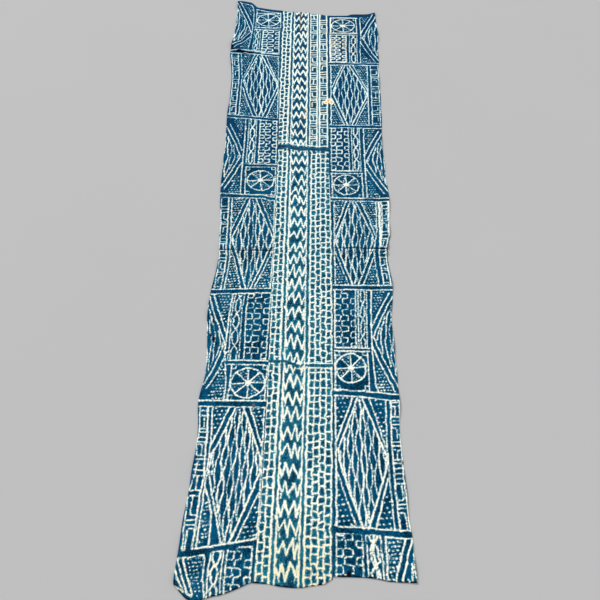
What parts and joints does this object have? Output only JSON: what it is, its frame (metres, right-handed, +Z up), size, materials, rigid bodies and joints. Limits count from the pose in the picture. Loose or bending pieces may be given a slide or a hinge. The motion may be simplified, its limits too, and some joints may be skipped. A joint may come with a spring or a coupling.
{
  "type": "ndop cloth",
  "caption": "Long narrow resist-dyed cotton cloth of three strips sewn edge to edge, laid out flat with its tucks and creases.",
  "frame": {"origin": "middle of the cloth's box, on the surface that it lies on", "axes": "+Y along the length towards the far end, +X across it to the right, +Z up out of the patterned face"},
  "size_m": [0.4648, 1.9278, 0.0106],
  "materials": {
    "indigo_cotton": "matte",
    "faded_indigo_cotton": "matte",
    "pale_indigo_cotton": "matte"
  },
  "bodies": {
    "root": {"strip_left": "indigo_cotton", "strip_right": "indigo_cotton", "strip_centre_near": "faded_indigo_cotton", "strip_centre_mid": "faded_indigo_cotton", "strip_centre_far": "pale_indigo_cotton"}
  },
  "joints": []
}
